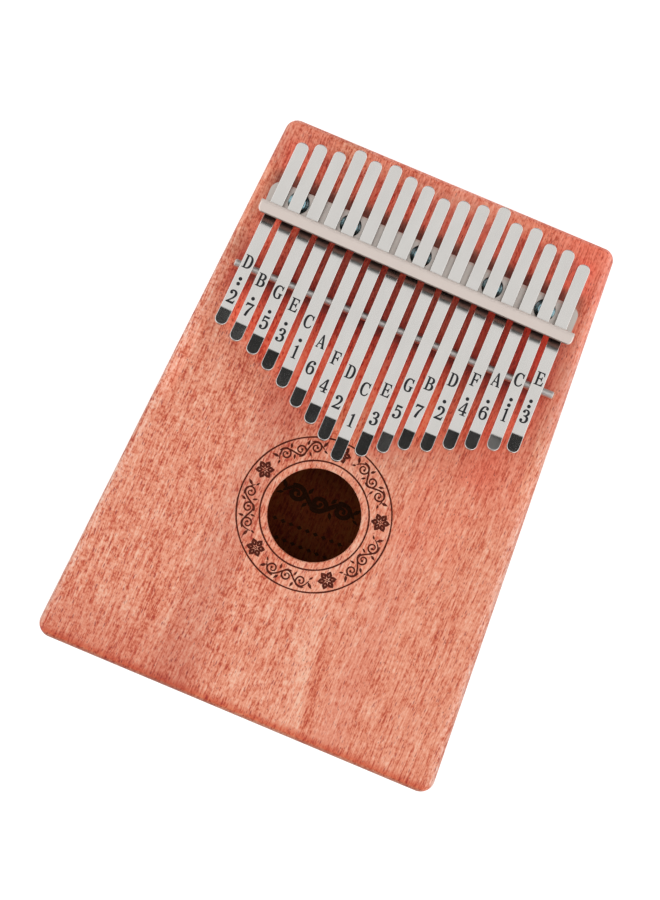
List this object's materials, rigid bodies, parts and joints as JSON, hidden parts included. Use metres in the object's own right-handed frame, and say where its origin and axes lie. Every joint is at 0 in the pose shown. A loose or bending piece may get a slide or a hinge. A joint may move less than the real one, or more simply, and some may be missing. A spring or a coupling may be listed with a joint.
{
  "type": "mbira",
  "caption": "Box-bodied mbira: tapered hollow wooden box with a round sound hole and a fan of flat steel tines held by a bent-sheet bracket over a rod saddle.",
  "frame": {"origin": "centre of the flat back of the box", "axes": "+Z out of the soundboard, +Y along the box towards the heel ends of the tines, +X across the tines, to the right when the tips point towards the viewer"},
  "size_m": [0.1376, 0.1848, 0.0432],
  "materials": {
    "top_wood": "open-pored mahogany, thin satin oil",
    "side_wood": "open-pored mahogany, thin satin oil",
    "back_wood": "open-pored mahogany, thin satin oil",
    "inner_wood": "raw sawn hardwood",
    "saddle_wood": "planed hardwood",
    "tine_steel": "polished spring steel, satin",
    "plated_steel": "satin nickel plate",
    "rod_steel": "drawn steel",
    "zinc_screws": "blue bright zinc plate"
  },
  "bodies": {
    "box": {"soundboard": "top_wood", "side_frame": "side_wood", "back_board": "back_wood", "bridge_block": "inner_wood", "bridge_bracket": "plated_steel", "bracket_screws": "zinc_screws", "saddle_strip": "saddle_wood", "saddle_rod": "rod_steel"},
    "heel_01": {"tine_01_heel": "tine_steel"},
    "reed_01": {"tine_01_reed": "tine_steel"},
    "heel_02": {"tine_02_heel": "tine_steel"},
    "reed_02": {"tine_02_reed": "tine_steel"},
    "heel_03": {"tine_03_heel": "tine_steel"},
    "reed_03": {"tine_03_reed": "tine_steel"},
    "heel_04": {"tine_04_heel": "tine_steel"},
    "reed_04": {"tine_04_reed": "tine_steel"},
    "heel_05": {"tine_05_heel": "tine_steel"},
    "reed_05": {"tine_05_reed": "tine_steel"},
    "heel_06": {"tine_06_heel": "tine_steel"},
    "reed_06": {"tine_06_reed": "tine_steel"},
    "heel_07": {"tine_07_heel": "tine_steel"},
    "reed_07": {"tine_07_reed": "tine_steel"},
    "heel_08": {"tine_08_heel": "tine_steel"},
    "reed_08": {"tine_08_reed": "tine_steel"},
    "heel_09": {"tine_09_heel": "tine_steel"},
    "reed_09": {"tine_09_reed": "tine_steel"},
    "heel_10": {"tine_10_heel": "tine_steel"},
    "reed_10": {"tine_10_reed": "tine_steel"},
    "heel_11": {"tine_11_heel": "tine_steel"},
    "reed_11": {"tine_11_reed": "tine_steel"},
    "heel_12": {"tine_12_heel": "tine_steel"},
    "reed_12": {"tine_12_reed": "tine_steel"},
    "heel_13": {"tine_13_heel": "tine_steel"},
    "reed_13": {"tine_13_reed": "tine_steel"},
    "heel_14": {"tine_14_heel": "tine_steel"},
    "reed_14": {"tine_14_reed": "tine_steel"},
    "heel_15": {"tine_15_heel": "tine_steel"},
    "reed_15": {"tine_15_reed": "tine_steel"},
    "heel_16": {"tine_16_heel": "tine_steel"},
    "reed_16": {"tine_16_reed": "tine_steel"},
    "heel_17": {"tine_17_heel": "tine_steel"},
    "reed_17": {"tine_17_reed": "tine_steel"}
  },
  "joints": [
    {"name": "pluck_01", "type": "hinge", "parent": "heel_01", "child": "reed_01", "pos_m": [-0.05091, 0.04183, 0.03831], "axis": [0.9991, -0.0436, 0], "range_deg": [-4, 4], "stiffness_Nm_per_rad": 10.32},
    {"name": "pluck_02", "type": "hinge", "parent": "heel_02", "child": "reed_02", "pos_m": [-0.04467, 0.04183, 0.03831], "axis": [0.9996, -0.0296, 0], "range_deg": [-4, 4], "stiffness_Nm_per_rad": 9},
    {"name": "pluck_03", "type": "hinge", "parent": "heel_03", "child": "reed_03", "pos_m": [-0.03818, 0.04183, 0.03831], "axis": [0.9996, -0.027, 0], "range_deg": [-4, 4], "stiffness_Nm_per_rad": 8.32},
    {"name": "pluck_04", "type": "hinge", "parent": "heel_04", "child": "reed_04", "pos_m": [-0.03194, 0.04183, 0.03831], "axis": [0.9998, -0.0206, 0], "range_deg": [-4, 4], "stiffness_Nm_per_rad": 7.49},
    {"name": "pluck_05", "type": "hinge", "parent": "heel_05", "child": "reed_05", "pos_m": [-0.02575, 0.04183, 0.03831], "axis": [0.9999, -0.0119, 0], "range_deg": [-4, 4], "stiffness_Nm_per_rad": 6.7},
    {"name": "pluck_06", "type": "hinge", "parent": "heel_06", "child": "reed_06", "pos_m": [-0.01928, 0.04183, 0.03831], "axis": [0.9999, -0.0108, 0], "range_deg": [-4, 4], "stiffness_Nm_per_rad": 5.93},
    {"name": "pluck_07", "type": "hinge", "parent": "heel_07", "child": "reed_07", "pos_m": [-0.01312, 0.04183, 0.03831], "axis": [1, -0.0065, 0], "range_deg": [-4, 4], "stiffness_Nm_per_rad": 5.46},
    {"name": "pluck_08", "type": "hinge", "parent": "heel_08", "child": "reed_08", "pos_m": [-0.00704, 0.04183, 0.03831], "axis": [1, -0.0089, 0], "range_deg": [-4, 4], "stiffness_Nm_per_rad": 5.04},
    {"name": "pluck_09", "type": "hinge", "parent": "heel_09", "child": "reed_09", "pos_m": [-0.0008, 0.04183, 0.03831], "axis": [1, -0.0056, 0], "range_deg": [-4, 4], "stiffness_Nm_per_rad": 4.55},
    {"name": "pluck_10", "type": "hinge", "parent": "heel_10", "child": "reed_10", "pos_m": [0.00557, 0.04183, 0.03831], "axis": [1, -0.0012, 0], "range_deg": [-4, 4], "stiffness_Nm_per_rad": 5.03},
    {"name": "pluck_11", "type": "hinge", "parent": "heel_11", "child": "reed_11", "pos_m": [0.01159, 0.04183, 0.03831], "axis": [1, -0.0053, 0], "range_deg": [-4, 4], "stiffness_Nm_per_rad": 5.52},
    {"name": "pluck_12", "type": "hinge", "parent": "heel_12", "child": "reed_12", "pos_m": [0.01767, 0.04183, 0.03831], "axis": [0.9999, -0.0133, 0], "range_deg": [-4, 4], "stiffness_Nm_per_rad": 6.06},
    {"name": "pluck_13", "type": "hinge", "parent": "heel_13", "child": "reed_13", "pos_m": [0.02392, 0.04183, 0.03831], "axis": [1, 0.0028, 0], "range_deg": [-4, 4], "stiffness_Nm_per_rad": 6.5},
    {"name": "pluck_14", "type": "hinge", "parent": "heel_14", "child": "reed_14", "pos_m": [0.03036, 0.04183, 0.03831], "axis": [1, 0.002, 0], "range_deg": [-4, 4], "stiffness_Nm_per_rad": 7.23},
    {"name": "pluck_15", "type": "hinge", "parent": "heel_15", "child": "reed_15", "pos_m": [0.03668, 0.04183, 0.03831], "axis": [1, 0.0077, 0], "range_deg": [-4, 4], "stiffness_Nm_per_rad": 7.98},
    {"name": "pluck_16", "type": "hinge", "parent": "heel_16", "child": "reed_16", "pos_m": [0.04316, 0.04183, 0.03831], "axis": [0.9998, 0.019, 0], "range_deg": [-4, 4], "stiffness_Nm_per_rad": 8.85},
    {"name": "pluck_17", "type": "hinge", "parent": "heel_17", "child": "reed_17", "pos_m": [0.04927, 0.04183, 0.03831], "axis": [0.9999, 0.0152, 0], "range_deg": [-4, 4], "stiffness_Nm_per_rad": 9.57},
    {"name": "tune_01", "type": "slide", "parent": "box", "child": "heel_01", "axis": [0.0436, 0.9991, 0], "range_m": [-0.0015, 0.0015]},
    {"name": "tune_02", "type": "slide", "parent": "box", "child": "heel_02", "axis": [0.0296, 0.9996, 0], "range_m": [-0.0015, 0.0015]},
    {"name": "tune_03", "type": "slide", "parent": "box", "child": "heel_03", "axis": [0.027, 0.9996, 0], "range_m": [-0.0015, 0.0015]},
    {"name": "tune_04", "type": "slide", "parent": "box", "child": "heel_04", "axis": [0.0206, 0.9998, 0], "range_m": [-0.0015, 0.0015]},
    {"name": "tune_05", "type": "slide", "parent": "box", "child": "heel_05", "axis": [0.0119, 0.9999, 0], "range_m": [-0.0015, 0.0015]},
    {"name": "tune_06", "type": "slide", "parent": "box", "child": "heel_06", "axis": [0.0108, 0.9999, 0], "range_m": [-0.0015, 0.0015]},
    {"name": "tune_07", "type": "slide", "parent": "box", "child": "heel_07", "axis": [0.0065, 1, 0], "range_m": [-0.0015, 0.0015]},
    {"name": "tune_08", "type": "slide", "parent": "box", "child": "heel_08", "axis": [0.0089, 1, 0], "range_m": [-0.0015, 0.0015]},
    {"name": "tune_09", "type": "slide", "parent": "box", "child": "heel_09", "axis": [0.0056, 1, 0], "range_m": [-0.0015, 0.0015]},
    {"name": "tune_10", "type": "slide", "parent": "box", "child": "heel_10", "axis": [0.0012, 1, 0], "range_m": [-0.0015, 0.0015]},
    {"name": "tune_11", "type": "slide", "parent": "box", "child": "heel_11", "axis": [0.0053, 1, 0], "range_m": [-0.0015, 0.0015]},
    {"name": "tune_12", "type": "slide", "parent": "box", "child": "heel_12", "axis": [0.0133, 0.9999, 0], "range_m": [-0.0015, 0.0015]},
    {"name": "tune_13", "type": "slide", "parent": "box", "child": "heel_13", "axis": [-0.0028, 1, 0], "range_m": [-0.0015, 0.0015]},
    {"name": "tune_14", "type": "slide", "parent": "box", "child": "heel_14", "axis": [-0.002, 1, 0], "range_m": [-0.0015, 0.0015]},
    {"name": "tune_15", "type": "slide", "parent": "box", "child": "heel_15", "axis": [-0.0077, 1, 0], "range_m": [-0.0015, 0.0015]},
    {"name": "tune_16", "type": "slide", "parent": "box", "child": "heel_16", "axis": [-0.019, 0.9998, 0], "range_m": [-0.0015, 0.0015]},
    {"name": "tune_17", "type": "slide", "parent": "box", "child": "heel_17", "axis": [-0.0152, 0.9999, 0], "range_m": [-0.0015, 0.0015]}
  ]
}
